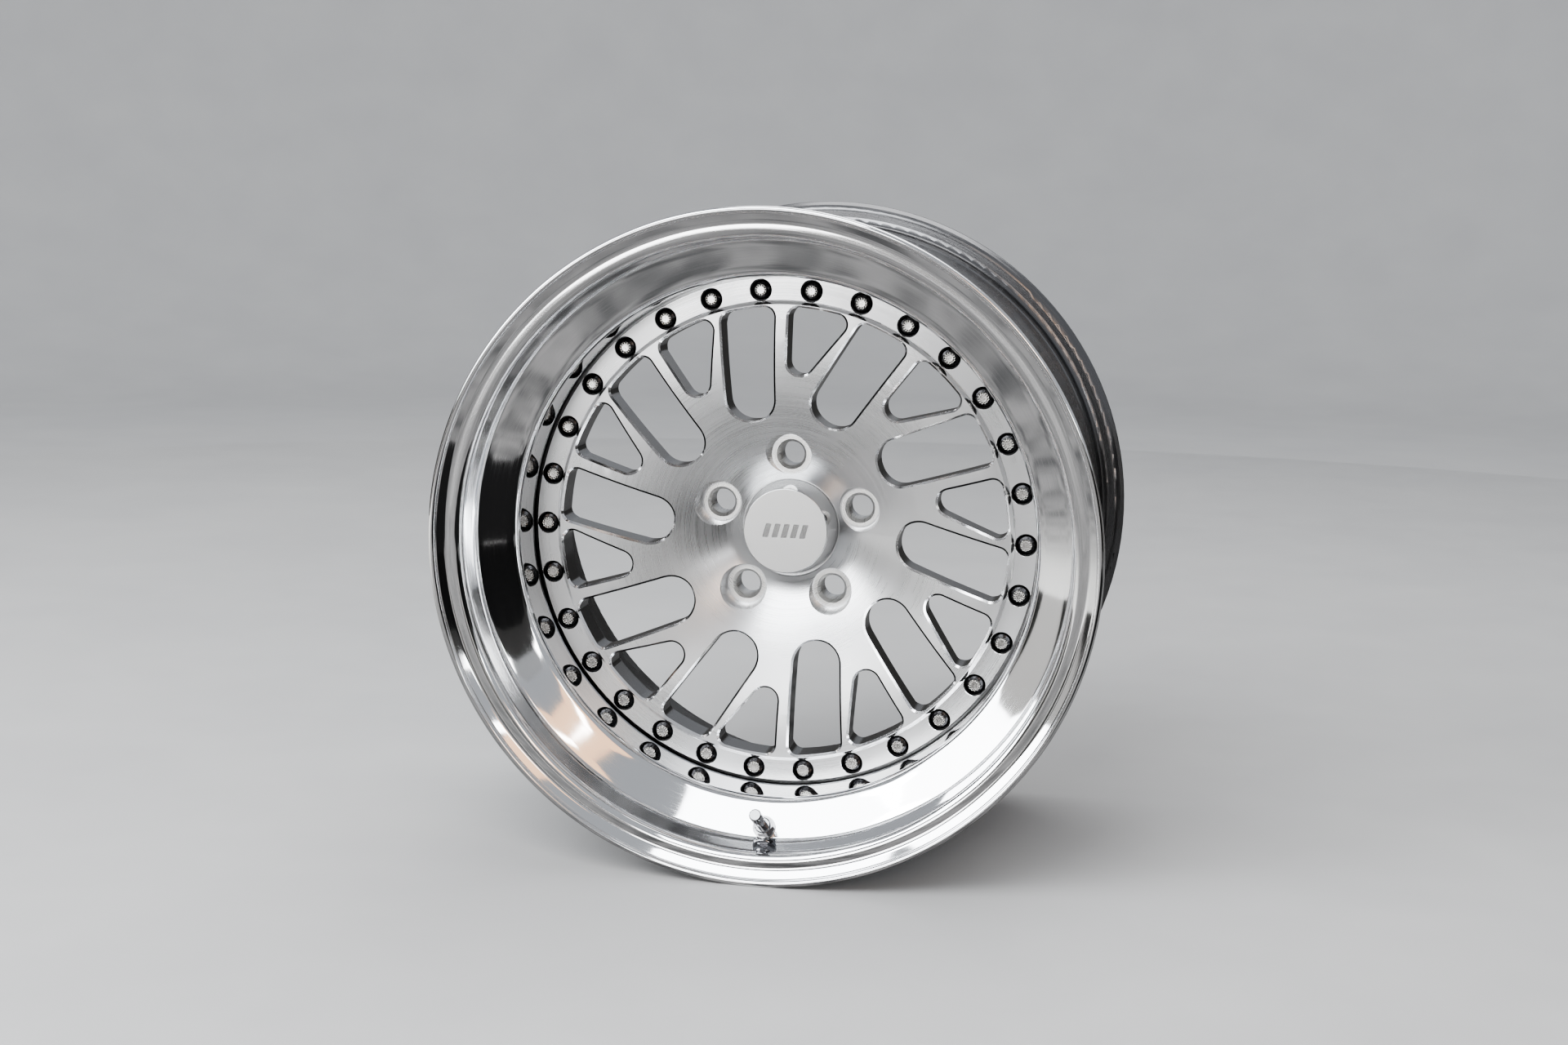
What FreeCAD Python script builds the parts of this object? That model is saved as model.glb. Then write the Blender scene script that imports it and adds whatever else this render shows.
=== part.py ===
import FreeCAD, Part
import math
import os
from FreeCAD import Placement, Rotation, Vector

# A forged three-piece racing wheel, 18 x 11 inch, five studs on 114.3 mm.
# Millimetres. The wheel turns about +Y and its front looks towards -Y.
# The origin is on the axis, at the rim's mid-plane, where the hub pad lies.
# Wheel outlines are lists of corners (radius, depth, rounding), with depth along Y.

# ---- rim -------------------------------------------------------------------
OVERALL_WIDTH = 304.0
HALF_WIDTH = OVERALL_WIDTH / 2
FLANGE_R = 248.6
FLANGE_DEPTH = 12.3          # front edge to the tyre's side of the flange
BEAD_SEAT_R = 231.0
SEAT_SLOPE = math.tan(math.radians(5))
SEAT_WIDTH = 20.7
HUMP_HEIGHT = 1.2
JOINT_FLANGE_INNER_R = 176.0
JOINT_FLANGE_THICK = 5.5
WELL_R = 201.5               # outside of the wall at the joint of the two halves
BAND_OUTER_R = 224.3         # the flat sloping band between the seat and the wall
BAND_OUTER_DEPTH = 41.3
BAND_INNER_R = 196.6
BAND_INNER_DEPTH = 56.9

# ---- centre disc ------------------------------------------------------------
DISC_FACE_Y = -55.0          # the bolt ring's face
DISC_RIM_THICK = 20.0
CROWN_Y = -59.3              # the spokes stand a little in front of the bolt ring
CROWN_END_R = 174.6
BOLT_RING_R = 176.9
SPOKE_THICK = 22.0
DISC_R = 194.5
SPIGOT_R = 195.85            # the step that centres the disc in the lip
REGISTER_R = 195.9
FACE_CURVE_R = 226.0
FACE_CURVE_START_R = 165.0
BOSS_R = 76.0
HUB_BORE_R = 36.55
HUB_BORE_DEPTH = 12.0
CAP_BORE_R = 35.0
CAP_SEAT_R = 38.3
CAP_SEAT_Y = -19.6
EDGE_CHAMFER = 1.6

# ---- windows ------------------------------------------------------------------
SPOKE_COUNT = 10
WINDOW_OUTER_R = 172.6
WINDOW_CORNER_R = 7.5

# ---- rim bolts ------------------------------------------------------------------
BOLT_COUNT = 30
BOLT_CIRCLE_R = 185.5
BOLT_FIRST_ANGLE = 6.0
BOLT_SHANK_R = 3.95
BOLT_HOLE_R = 4.1
BOLT_RECESS_R = 8.2
BOLT_RECESS_DEPTH = 4.0
BOLT_RECESS_BREAK = 0.4      # the small bright bevel round each recess
BOLT_FLANGE_R = 7.6
BOLT_FLANGE_THICK = 2.2
BOLT_HEAD_R = 4.7
BOLT_HEAD_HEIGHT = 4.7
WASHER_R = 7.4
WASHER_THICK = 1.6
NUT_HEIGHT = 7.0
NUT_R = 7.2
BOLT_END = 2.0               # thread showing past the nut

# ---- wheel studs ------------------------------------------------------------------
STUD_COUNT = 5
STUD_CIRCLE_R = 114.3 / 2
STUD_HOLE_R = 9.5
POCKET_MOUTH_R = 17.3
POCKET_FLOOR_R = 15.6
POCKET_FLOOR_Y = -22.4
INSERT_R = 14.5
INSERT_LENGTH = 13.4
SEAT_MOUTH_R = 11.8
SEAT_GROOVE_R = 13.0         # fine turned line round the seat
SEAT_GROOVE_WIDTH = 0.5
SEAT_GROOVE_DEPTH = 0.5
SEAT_HALF_ANGLE = 30.0
RELIEF_R = 13.0
RELIEF_DEPTH = 8.0

# ---- centre cap ------------------------------------------------------------------
CAP_BASE_R = 37.6
CAP_FACE_R = 32.7
CAP_HEIGHT = 23.0
CAP_WALL = 4.0
CAP_SPIGOT_R = 34.9
CAP_SPIGOT_LENGTH = 7.5
CAP_MARK_WIDTH = 36.0        # five slanted bars cut into the cap's face
CAP_MARK_HEIGHT = 11.0
CAP_MARK_BARS = 5
CAP_MARK_SLANT = 3.0
CAP_MARK_DEPTH = 0.5
RING_SECTION_R = 1.1

# ---- valve, in its own frame: Z along the stem, zero at the rim's front surface ----
VALVE_RADIUS_ON_RIM = 216.5
VALVE_TILT = 29.5            # from the wheel's axis towards the centre
VALVE_LIFT = 0.2             # keeps the flat washer clear of the hollow band
VALVE_WALL = 5.0             # rim wall under the valve
VALVE_HOLE_R = 5.6
STEM_R = 3.85
STEM_TOP = 37.0
STEM_BORE_R = 1.6
CORE_BORE_R = 2.2
CORE_BOTTOM = 24.0
CORE_TOP = 32.6
PIN_TRAVEL = 1.2


def y_from_front(depth):
    return depth - HALF_WIDTH


def corner_round(before, here, after, radius):
    """Start, middle and end of the arc of this radius that rounds one corner."""
    to_before = (before - here).normalize()
    to_after = (after - here).normalize()
    half_angle = to_before.getAngle(to_after) / 2
    back = radius / math.tan(half_angle)
    inward = (to_before + to_after).normalize()
    middle = here + inward * (radius / math.sin(half_angle) - radius)
    return here + to_before * back, middle, here + to_after * back


def rounded_face(corners, to_point):
    """A flat face whose outline has the given corners (a, b, rounding)."""
    points = [to_point(a, b) for a, b, _ in corners]
    count = len(points)
    edges = []
    rounds = []
    for index, (_, _, radius) in enumerate(corners):
        here = points[index]
        if radius > 0:
            rounds.append(corner_round(points[index - 1], here, points[(index + 1) % count], radius))
        else:
            rounds.append((here, None, here))
    for index, (start, middle, end) in enumerate(rounds):
        if middle is not None:
            edges.append(Part.Arc(start, middle, end).toShape())
        following = rounds[(index + 1) % count][0]
        if (following - end).Length > 1e-6:
            edges.append(Part.makeLine(end, following))
    return Part.Face(Part.Wire(edges))


def turned(corners):
    """A ring turned about the wheel's axis from corners (radius, y, rounding)."""
    face = rounded_face(corners, lambda r, y: Vector(r, y, 0))
    return face.revolve(Vector(0, 0, 0), Vector(0, 1, 0), 360)


def rod(radius, start_y, end_y, at_r=0.0, angle=0.0):
    """A cylinder along Y, at a radius and an angle clockwise from the top."""
    centre = on_circle(at_r, angle, start_y)
    return Part.makeCylinder(radius, end_y - start_y, centre, Vector(0, 1, 0))


def on_circle(radius, angle, y):
    turn = math.radians(angle)
    return Vector(radius * math.sin(turn), y, radius * math.cos(turn))


def repeat_round(shape, count, first_angle=0.0):
    """Copies of a shape made at the top, spaced evenly clockwise round the axis."""
    copies = []
    for index in range(count):
        copy = shape.copy()
        copy.rotate(Vector(0, 0, 0), Vector(0, 1, 0), first_angle + index * 360 / count)
        copies.append(copy)
    return copies


def flange_corners(edge_y, into):
    """The J flange, seat and hump from the visible side round the edge to the tyre's side.

    into is +1 where the wheel lies towards +Y of this edge, and -1 at the other edge.
    """
    seat_start = FLANGE_DEPTH
    seat_end = FLANGE_DEPTH + SEAT_WIDTH
    seat_end_r = BEAD_SEAT_R - SEAT_WIDTH * SEAT_SLOPE
    outline = [
        (226.6, 8.4, 6.5),
        (237.6, 8.0, 6.5),
        (242.9, 3.7, 0.5),
        (243.7, 3.4, 0.3),
        (243.7, 0.0, 2.3),
        (FLANGE_R, 0.0, 2.4),
        (FLANGE_R, 6.6, 1.5),
        (243.9, seat_start, 6.5),
        (BEAD_SEAT_R, seat_start, 6.0),
        (seat_end_r, seat_end, 3.0),
        (seat_end_r + HUMP_HEIGHT, seat_end + 4.0, 2.5),
        (seat_end_r, seat_end + 8.0, 3.0),
    ]
    return [(r, edge_y + into * depth, rounding) for r, depth, rounding in outline]


def outer_rim_lip():
    """The polished front half: flange, seat, sloping band and the wall down to the disc."""
    disc_back = DISC_FACE_Y + DISC_RIM_THICK
    joint = disc_back + JOINT_FLANGE_THICK
    groove = 1.8
    inside = [
        (REGISTER_R, disc_back, 0),
        (REGISTER_R, y_from_front(97.6), 0.6),
        (BAND_INNER_R, y_from_front(BAND_INNER_DEPTH), 9.5),
        (BAND_OUTER_R, y_from_front(BAND_OUTER_DEPTH), 3.5),
    ]
    outside = [
        (229.2, y_from_front(44.4), 4.0),
        (202.0, y_from_front(59.6), 6.0),
        (WELL_R, y_from_front(98.0), 0),
        (WELL_R, joint - groove, 0),
        (WELL_R - groove, joint, 0),
        (JOINT_FLANGE_INNER_R, joint, 0),
        (JOINT_FLANGE_INNER_R, disc_back, 0),
    ]
    lip = turned(inside + flange_corners(-HALF_WIDTH, 1) + outside)
    for angle in bolt_angles():
        lip = lip.cut(rod(BOLT_HOLE_R, disc_back - 1, joint + 1, BOLT_CIRCLE_R, angle))
    return lip.cut(in_valve_place(Part.makeCylinder(VALVE_HOLE_R, 20, Vector(0, 0, -12))))


def inner_rim_barrel():
    """The back half: joint flange, well, wall and the rear flange."""
    joint = DISC_FACE_Y + DISC_RIM_THICK + JOINT_FLANGE_THICK
    back = joint + JOINT_FLANGE_THICK
    groove = 1.8
    inside = [
        (JOINT_FLANGE_INNER_R, joint, 0),
        (JOINT_FLANGE_INNER_R, back, 0),
        (200.8, back, 4.0),
        (201.2, 2.0, 12.0),
        (221.5, 22.0, 14.0),
        (224.4, HALF_WIDTH - 45.0, 0),
    ]
    outside = [
        (226.6, 26.0, 12.0),
        (206.4, 5.5, 10.0),
        (206.2, back + 3.0, 4.0),
        (WELL_R, back - 1.5, 0),
        (WELL_R, joint + groove, 0),
        (WELL_R - groove, joint, 0),
    ]
    barrel = turned(inside + flange_corners(HALF_WIDTH, -1) + outside)
    for angle in bolt_angles():
        barrel = barrel.cut(rod(BOLT_HOLE_R, joint - 1, back + 1, BOLT_CIRCLE_R, angle))
    return barrel


def rim_seal_bead():
    """Sealant laid in the groove between the two halves, on the tyre's side."""
    joint = DISC_FACE_Y + DISC_RIM_THICK + JOINT_FLANGE_THICK
    groove = 1.8
    return turned([
        (WELL_R - groove, joint, 0),
        (WELL_R, joint - groove, 0),
        (WELL_R + 1.3, joint - 1.0, 0.6),
        (WELL_R + 1.3, joint + 1.0, 0.6),
        (WELL_R, joint + groove, 0),
    ])


def face_depth(radius, thickness=0.0):
    """Y of the dished face, or of the surface that lies a thickness behind it."""
    centre_y = CROWN_Y + FACE_CURVE_R
    curve_r = FACE_CURVE_R - thickness
    return centre_y - math.sqrt(curve_r ** 2 - (FACE_CURVE_START_R - radius) ** 2)


def disc_blank():
    """The turned disc before its windows and holes are cut."""
    disc_back = DISC_FACE_Y + DISC_RIM_THICK
    spigot_y = disc_back - 5.0
    boss_root_r = BOSS_R + 5.0
    rear_start_r = FACE_CURVE_START_R

    def point(radius, y):
        return Vector(radius, y, 0)

    def front(radius):
        return point(radius, face_depth(radius))

    def rear(radius):
        return point(radius, face_depth(radius, SPOKE_THICK))

    face_arc = Part.Arc(front(CAP_SEAT_R), front(100.0), front(FACE_CURVE_START_R))
    rear_arc = Part.Arc(rear(rear_start_r), rear(120.0), rear(boss_root_r))
    rim_points = [
        front(FACE_CURVE_START_R),
        point(CROWN_END_R, CROWN_Y),
        point(BOLT_RING_R, DISC_FACE_Y),
        point(DISC_R - 0.8, DISC_FACE_Y),
        point(DISC_R, DISC_FACE_Y + 0.8),
        point(DISC_R, spigot_y),
        point(SPIGOT_R, spigot_y),
        point(SPIGOT_R, disc_back),
        point(rear_start_r + 3.0, disc_back),
        rear(rear_start_r),
    ]
    boss_points = [
        rear(boss_root_r),
        point(BOSS_R, face_depth(boss_root_r, SPOKE_THICK) + 5.0),
        point(BOSS_R, -1.0),
        point(BOSS_R - 1.0, 0),
        point(HUB_BORE_R + 0.8, 0),
        point(HUB_BORE_R, -0.8),
        point(HUB_BORE_R, -HUB_BORE_DEPTH),
        point(CAP_BORE_R, -HUB_BORE_DEPTH),
        point(CAP_BORE_R, CAP_SEAT_Y),
        point(CAP_SEAT_R, CAP_SEAT_Y),
        front(CAP_SEAT_R),
    ]
    edges = [face_arc.toShape(), rear_arc.toShape()]
    for points in (rim_points, boss_points):
        edges += [Part.makeLine(a, b) for a, b in zip(points, points[1:])]
    face = Part.Face(Part.Wire(Part.__sortEdges__(edges)))
    blank = face.revolve(Vector(0, 0, 0), Vector(0, 1, 0), 360)
    for ring_r, ring_y, rounding in ((CROWN_END_R, CROWN_Y, 0.5), (BOLT_RING_R, DISC_FACE_Y, 1.2)):
        blank = blank.makeFillet(rounding, [ring_edge(blank, ring_r, ring_y)])
    return blank


def ring_edge(shape, radius, y):
    """The circular edge of a turned shape that has this radius and depth."""
    for edge in shape.Edges:
        start = edge.Vertexes[0].Point
        if edge.Closed and abs(math.hypot(start.x, start.z) - radius) < 0.01 and abs(start.y - y) < 0.01:
            return edge
    raise ValueError("no ring of radius %s at %s" % (radius, y))


def window_prism(corners):
    """A window cut straight through, closed outside by the window circle.

    Corners are (across, outward, rounding) for the spoke that points up.
    """
    start_y = -90.0
    end_y = 10.0
    face = rounded_face(corners, lambda across, outward: Vector(across, start_y, outward))
    prism = face.extrude(Vector(0, end_y - start_y, 0))
    prism = prism.common(rod(WINDOW_OUTER_R, start_y, end_y))
    outer_edges = []
    for edge in prism.Edges:
        ends = [vertex.Point for vertex in edge.Vertexes]
        along_y = len(ends) == 2 and abs(ends[0].y - ends[1].y) > 50
        if along_y and abs(math.hypot(ends[0].x, ends[0].z) - WINDOW_OUTER_R) < 0.01:
            outer_edges.append(edge)
    return prism.makeFillet(WINDOW_CORNER_R, outer_edges)


def large_window():
    """The long window on the left of a spoke: near-parallel sides and a round inner end."""
    return window_prism([
        (-7.8, 182.0, 0),
        (-9.4, 84.2, 17.4),
        (-44.6, 84.2, 17.4),
        (-50.2, 182.0, 0),
    ])


def small_window():
    """The tapered window on the right of a spoke, with a small round inner end."""
    return window_prism([
        (3.4, 182.0, 0),
        (0.3, 102.2, 10.0),
        (67.1, 182.0, 0),
    ])


def bolt_angles():
    return [BOLT_FIRST_ANGLE + index * 360 / BOLT_COUNT for index in range(BOLT_COUNT)]


def stud_pocket():
    """Pocket, insert seat and stud hole of the top stud, as the metal to remove."""
    mouth = Part.makeCone(
        POCKET_MOUTH_R + 0.9, POCKET_FLOOR_R, 12.0,
        Vector(0, POCKET_FLOOR_Y - 12.0, STUD_CIRCLE_R), Vector(0, 1, 0))
    sky = rod(POCKET_MOUTH_R + 0.9, POCKET_FLOOR_Y - 40.0, POCKET_FLOOR_Y - 12.0, STUD_CIRCLE_R)
    seat = rod(INSERT_R, POCKET_FLOOR_Y - 1.0, POCKET_FLOOR_Y + INSERT_LENGTH, STUD_CIRCLE_R)
    hole = rod(STUD_HOLE_R, POCKET_FLOOR_Y, 1.0, STUD_CIRCLE_R)
    return mouth.fuse([sky, seat, hole])


def broken_front_edges(disc):
    """The window edges on the face, which get the bright chamfer."""
    edges = []
    for edge in disc.Edges:
        if edge.Closed or edge.Length < 1.0:
            continue
        middle = edge.valueAt((edge.FirstParameter + edge.LastParameter) / 2)
        radius = math.hypot(middle.x, middle.z)
        on_face = abs(middle.y - face_depth(min(radius, FACE_CURVE_START_R))) < 0.02
        if on_face and 80.0 < radius < WINDOW_OUTER_R + 0.1:
            edges.append(edge)
    return edges


def centre_disc():
    """The forged centre: dished face, twenty windows, bolt recesses and stud pockets."""
    disc = disc_blank()
    disc_back = DISC_FACE_Y + DISC_RIM_THICK
    for window in (large_window(), small_window()):
        disc = disc.cut(repeat_round(window, SPOKE_COUNT))
    disc = disc.makeChamfer(EDGE_CHAMFER, broken_front_edges(disc))
    recess = rod(BOLT_RECESS_R, DISC_FACE_Y - 1, DISC_FACE_Y + BOLT_RECESS_DEPTH, BOLT_CIRCLE_R)
    above = rod(BOLT_RECESS_R + BOLT_RECESS_BREAK, CROWN_Y - 1, DISC_FACE_Y, BOLT_CIRCLE_R)
    rim = Part.makeCone(
        BOLT_RECESS_R + BOLT_RECESS_BREAK, BOLT_RECESS_R, BOLT_RECESS_BREAK,
        Vector(0, DISC_FACE_Y, BOLT_CIRCLE_R), Vector(0, 1, 0))
    hole = rod(BOLT_HOLE_R, DISC_FACE_Y, disc_back + 1, BOLT_CIRCLE_R)
    bolt_place = recess.fuse([rim, above, hole])
    disc = disc.cut(repeat_round(bolt_place, BOLT_COUNT, BOLT_FIRST_ANGLE))
    disc = disc.cut(repeat_round(stud_pocket(), STUD_COUNT))
    relief = rod(RELIEF_R, -RELIEF_DEPTH, 1.0, STUD_CIRCLE_R)
    return disc.cut(repeat_round(relief, STUD_COUNT, 180.0 / STUD_COUNT))


def lug_seat_inserts():
    """Pressed-in steel seats with the 60 degree cone for the wheel nuts."""
    cone_depth = (SEAT_MOUTH_R - STUD_HOLE_R) / math.tan(math.radians(SEAT_HALF_ANGLE))
    body = rod(INSERT_R, POCKET_FLOOR_Y, POCKET_FLOOR_Y + INSERT_LENGTH, STUD_CIRCLE_R)
    hole = rod(STUD_HOLE_R, POCKET_FLOOR_Y - 1, POCKET_FLOOR_Y + INSERT_LENGTH + 1, STUD_CIRCLE_R)
    cone = Part.makeCone(
        SEAT_MOUTH_R, STUD_HOLE_R, cone_depth,
        Vector(0, POCKET_FLOOR_Y, STUD_CIRCLE_R), Vector(0, 1, 0))
    groove_floor = POCKET_FLOOR_Y + SEAT_GROOVE_DEPTH
    groove = rod(SEAT_GROOVE_R, POCKET_FLOOR_Y - 1, groove_floor, STUD_CIRCLE_R).cut(
        rod(SEAT_GROOVE_R - SEAT_GROOVE_WIDTH, POCKET_FLOOR_Y - 2, groove_floor + 1, STUD_CIRCLE_R))
    return repeat_round(body.cut([hole, cone, groove]), STUD_COUNT)


def star_prism(outer_r, inner_r, points, start_y, end_y, at_r):
    """A prism with a pointed outline, as on a 12-point head."""
    corners = []
    for index in range(2 * points):
        radius = outer_r if index % 2 == 0 else inner_r
        turn = math.pi * index / points
        corners.append((radius * math.cos(turn), at_r + radius * math.sin(turn), 0))
    face = rounded_face(corners, lambda across, outward: Vector(across, start_y, outward))
    return face.extrude(Vector(0, end_y - start_y, 0))


def rim_bolts():
    """12-point flange bolts, with the dished top of a cold-formed head."""
    seat = DISC_FACE_Y + BOLT_RECESS_DEPTH
    top = seat - BOLT_HEAD_HEIGHT
    flange_front = seat - BOLT_FLANGE_THICK
    end = DISC_FACE_Y + DISC_RIM_THICK + 2 * JOINT_FLANGE_THICK + WASHER_THICK + NUT_HEIGHT + BOLT_END
    axis_at = Vector(0, 0, BOLT_CIRCLE_R)
    flange = Part.makeCone(
        BOLT_HEAD_R + 0.3, BOLT_FLANGE_R, BOLT_FLANGE_THICK - 0.8,
        axis_at + Vector(0, flange_front, 0), Vector(0, 1, 0))
    rim = rod(BOLT_FLANGE_R, seat - 0.8, seat, BOLT_CIRCLE_R)
    head = star_prism(BOLT_HEAD_R, BOLT_HEAD_R - 0.5, 12, top, flange_front + 0.4, BOLT_CIRCLE_R)
    shank = rod(BOLT_SHANK_R, seat - 0.4, end, BOLT_CIRCLE_R)
    dish = Part.makeCone(
        3.2, 2.6, 0.4, axis_at + Vector(0, top, 0), Vector(0, 1, 0))
    bolt = flange.fuse([rim, head, shank]).removeSplitter().cut(dish)
    return repeat_round(bolt, BOLT_COUNT, BOLT_FIRST_ANGLE)


def rim_nuts():
    """Hexagon lock nuts on the back of the barrel's flange."""
    start = DISC_FACE_Y + DISC_RIM_THICK + 2 * JOINT_FLANGE_THICK + WASHER_THICK
    hexagon = star_prism(NUT_R, NUT_R * math.cos(math.pi / 6), 6, start, start + NUT_HEIGHT, BOLT_CIRCLE_R)
    nut = hexagon.cut(rod(BOLT_HOLE_R, start - 1, start + NUT_HEIGHT + 1, BOLT_CIRCLE_R))
    return repeat_round(nut, BOLT_COUNT, BOLT_FIRST_ANGLE)


def nut_washers():
    start = DISC_FACE_Y + DISC_RIM_THICK + 2 * JOINT_FLANGE_THICK
    ring = rod(WASHER_R, start, start + WASHER_THICK, BOLT_CIRCLE_R)
    washer = ring.cut(rod(BOLT_HOLE_R, start - 1, start + WASHER_THICK + 1, BOLT_CIRCLE_R))
    return repeat_round(washer, BOLT_COUNT, BOLT_FIRST_ANGLE)


def cap_ring_y():
    return CAP_SEAT_Y + CAP_SPIGOT_LENGTH / 2


def centre_cap():
    """A turned cup: conical side, thin face, and a grooved spigot that enters the bore."""
    front = CAP_SEAT_Y - CAP_HEIGHT
    groove = RING_SECTION_R
    ring_y = cap_ring_y()
    spigot_end = CAP_SEAT_Y + CAP_SPIGOT_LENGTH
    groove_floor = CAP_SPIGOT_R - 2 * RING_SECTION_R
    inside_r = CAP_FACE_R - 2 * CAP_WALL
    cap = turned([
        (0.0, front, 0),
        (CAP_FACE_R, front, 0.7),
        (CAP_BASE_R, CAP_SEAT_Y, 0),
        (CAP_SPIGOT_R, CAP_SEAT_Y, 0),
        (CAP_SPIGOT_R, ring_y - groove, 0),
        (groove_floor, ring_y - groove, 0),
        (groove_floor, ring_y + groove, 0),
        (CAP_SPIGOT_R, ring_y + groove, 0),
        (CAP_SPIGOT_R, spigot_end, 0),
        (inside_r + 2.5, spigot_end, 0),
        (inside_r, front + CAP_WALL + 2.0, 2.0),
        (0.0, front + CAP_WALL, 0),
    ])
    return cap.cut(cap_mark(front))


def cap_mark(front):
    """The bars cut into the cap's face, side by side and leaning to the right."""
    pitch = CAP_MARK_WIDTH / CAP_MARK_BARS
    half_bar = pitch * 0.31
    half_height = CAP_MARK_HEIGHT / 2
    bars = []
    for index in range(CAP_MARK_BARS):
        middle = (index - (CAP_MARK_BARS - 1) / 2) * pitch
        corners = [
            (middle - half_bar - CAP_MARK_SLANT / 2, -half_height, 0.8),
            (middle + half_bar - CAP_MARK_SLANT / 2, -half_height, 0.8),
            (middle + half_bar + CAP_MARK_SLANT / 2, half_height, 0.8),
            (middle - half_bar + CAP_MARK_SLANT / 2, half_height, 0.8),
        ]
        face = rounded_face(corners, lambda across, up: Vector(across, front - 1.0, up))
        bars.append(face.extrude(Vector(0, 1.0 + CAP_MARK_DEPTH, 0)))
    return bars


def cap_o_ring():
    centre_r = CAP_SPIGOT_R - RING_SECTION_R + 0.03
    ring = Part.makeTorus(centre_r, RING_SECTION_R, Vector(0, cap_ring_y(), 0), Vector(0, 1, 0))
    return ring


# ---- valve ----------------------------------------------------------------------


def in_valve_place(shape):
    """Moves a piece from the valve's own frame to its hole at the bottom of the rim."""
    slope = (BAND_INNER_DEPTH - BAND_OUTER_DEPTH) / (BAND_OUTER_R - BAND_INNER_R)
    seat_y = y_from_front(BAND_OUTER_DEPTH + (BAND_OUTER_R - VALVE_RADIUS_ON_RIM) * slope)
    tilt = math.radians(VALVE_TILT)
    out = Vector(0, -math.cos(tilt), math.sin(tilt))
    moved = shape.copy()
    seat = Vector(0, seat_y, -VALVE_RADIUS_ON_RIM) + out * VALVE_LIFT
    moved.Placement = Placement(seat, Rotation(Vector(0, 0, 1), out)).multiply(moved.Placement)
    return moved


def tube(outer_r, inner_r, start, end):
    """A ring or sleeve about the valve's axis."""
    height = end - start
    outer = Part.makeCylinder(outer_r, height, Vector(0, 0, start))
    return outer.cut(Part.makeCylinder(inner_r, height + 2, Vector(0, 0, start - 1)))


def valve_stem():
    """The metal stem: foot inside the tyre, threaded neck, and the bore for the core."""
    foot = Part.makeCylinder(8.5, 2.5, Vector(0, 0, -VALVE_WALL - 5.0))
    neck = Part.makeCylinder(STEM_R, STEM_TOP + VALVE_WALL + 3, Vector(0, 0, -VALVE_WALL - 3.0))
    bore = Part.makeCylinder(STEM_BORE_R, 60, Vector(0, 0, -20))
    core_bore = Part.makeCylinder(CORE_BORE_R, 30, Vector(0, 0, CORE_BOTTOM - 3.5))
    return foot.fuse(neck).removeSplitter().cut([bore, core_bore])


def valve_grommet():
    """Rubber seal with a collar that fills the rim hole round the stem."""
    wide = tube(8.5, STEM_R, -VALVE_WALL - 2.5, -VALVE_WALL - 0.02)
    collar = tube(VALVE_HOLE_R, STEM_R, -VALVE_WALL - 1.0, -0.6)
    return wide.fuse(collar).removeSplitter()


def valve_washer():
    return tube(8.6, STEM_R + 0.1, 0.0, 1.3)


def valve_nut():
    """The hexagon nut that clamps the stem, with a round collar above its flats."""
    corners = []
    for index in range(6):
        turn = math.pi * index / 3
        corners.append((7.6 * math.cos(turn), 7.6 * math.sin(turn), 0))
    hexagon = rounded_face(corners, lambda a, b: Vector(a, b, 1.3)).extrude(Vector(0, 0, 5.2))
    collar = Part.makeCone(6.2, 5.2, 1.6, Vector(0, 0, 6.5))
    bore = Part.makeCylinder(STEM_R + 0.05, 20, Vector(0, 0, 0))
    return hexagon.fuse(collar).removeSplitter().cut(bore)


def valve_core_housing():
    """The brass barrel of the core, with a ledge inside that carries the spring."""
    sleeve = tube(2.0, 1.35, CORE_BOTTOM, CORE_TOP)
    ledge = tube(1.6, 0.75, CORE_BOTTOM, CORE_BOTTOM + 0.6)
    return sleeve.fuse(ledge).removeSplitter()


def valve_core_gasket():
    return tube(CORE_BORE_R, 2.0, CORE_BOTTOM + 0.6, CORE_BOTTOM + 2.2)


def valve_core_pin():
    """The pin that is pressed to let air in or out, with the collar the spring pushes on."""
    pin = Part.makeCylinder(0.5, STEM_TOP - 1.0 - CORE_BOTTOM + 2.6, Vector(0, 0, CORE_BOTTOM - 2.6))
    collar = Part.makeCylinder(1.2, 0.7, Vector(0, 0, CORE_TOP - 2.2))
    return pin.fuse(collar).removeSplitter()


def valve_core_seal():
    """The rubber cup at the pin's foot that closes the housing from below."""
    return tube(1.25, 0.5, CORE_BOTTOM - 1.6, CORE_BOTTOM - 0.02)


def valve_core_spring():
    """The coil on the housing's ledge, as short as when the pin is pressed right down."""
    start = CORE_BOTTOM + 0.75
    height = CORE_TOP - 2.2 - 0.15 - PIN_TRAVEL - start
    path = Part.makeHelix(height / 4.5, height, 0.95)
    section = Part.Wire(Part.makeCircle(0.14, Vector(0.95, 0, 0), Vector(0, 1, 0)))
    coil = Part.Wire(path).makePipeShell([section], True, True)
    coil.translate(Vector(0, 0, start))
    return coil


def valve_cap():
    """The dust cap, with fine grip ribs round its skirt."""
    skirt_start = 28.0
    top = STEM_TOP + 3.0
    body = Part.makeCylinder(4.6, top - skirt_start, Vector(0, 0, skirt_start))
    crown = body.makeChamfer(0.8, [edge for edge in body.Edges if edge.Closed and edge.Vertexes[0].Z > top - 1])
    bore = Part.makeCylinder(STEM_R + 0.12, STEM_TOP + 1.6 - skirt_start + 1, Vector(0, 0, skirt_start - 1))
    rib_gap = Part.makeCylinder(0.32, 6.0, Vector(4.7, 0, skirt_start + 1.2))
    gaps = []
    for index in range(24):
        gap = rib_gap.copy()
        gap.rotate(Vector(0, 0, 0), Vector(0, 0, 1), index * 15)
        gaps.append(gap)
    return crown.cut(bore).cut(gaps)


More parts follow.
